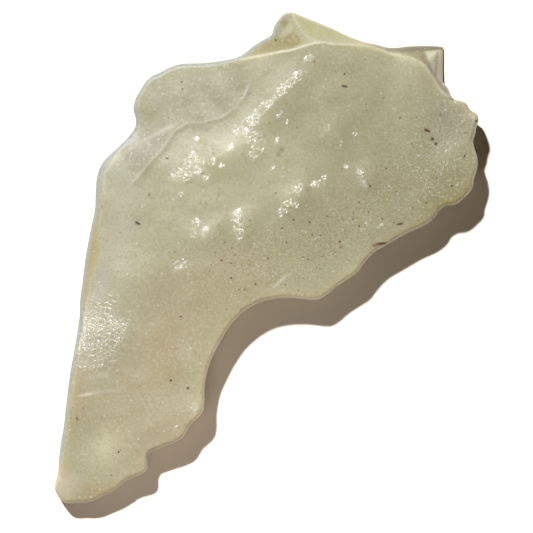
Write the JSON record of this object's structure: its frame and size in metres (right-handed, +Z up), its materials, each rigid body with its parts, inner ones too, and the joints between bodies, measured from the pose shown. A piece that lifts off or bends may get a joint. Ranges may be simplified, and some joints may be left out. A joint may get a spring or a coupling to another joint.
{
  "type": "libyan desert glass",
  "caption": "Raw slab of pale yellow natural desert glass: an L-shaped, wind-worn flake with a thin rim, a curved bay and a broken back edge, resting on its keeled underside.",
  "frame": {"origin": "on the surface the stone rests on, under the middle of the stone's bounding box", "axes": "+Z up out of the broad upper face, +Y towards the broken back edge, the narrow arm points to -Y and -X"},
  "size_m": [0.0552, 0.064, 0.0083],
  "materials": {
    "desert_glass": "milky, pale yellow-green natural silica glass, satin from wind wear, with glossy glinting patches and small dark specks"
  },
  "bodies": {
    "root": {"desert_glass": "desert_glass"}
  },
  "joints": []
}
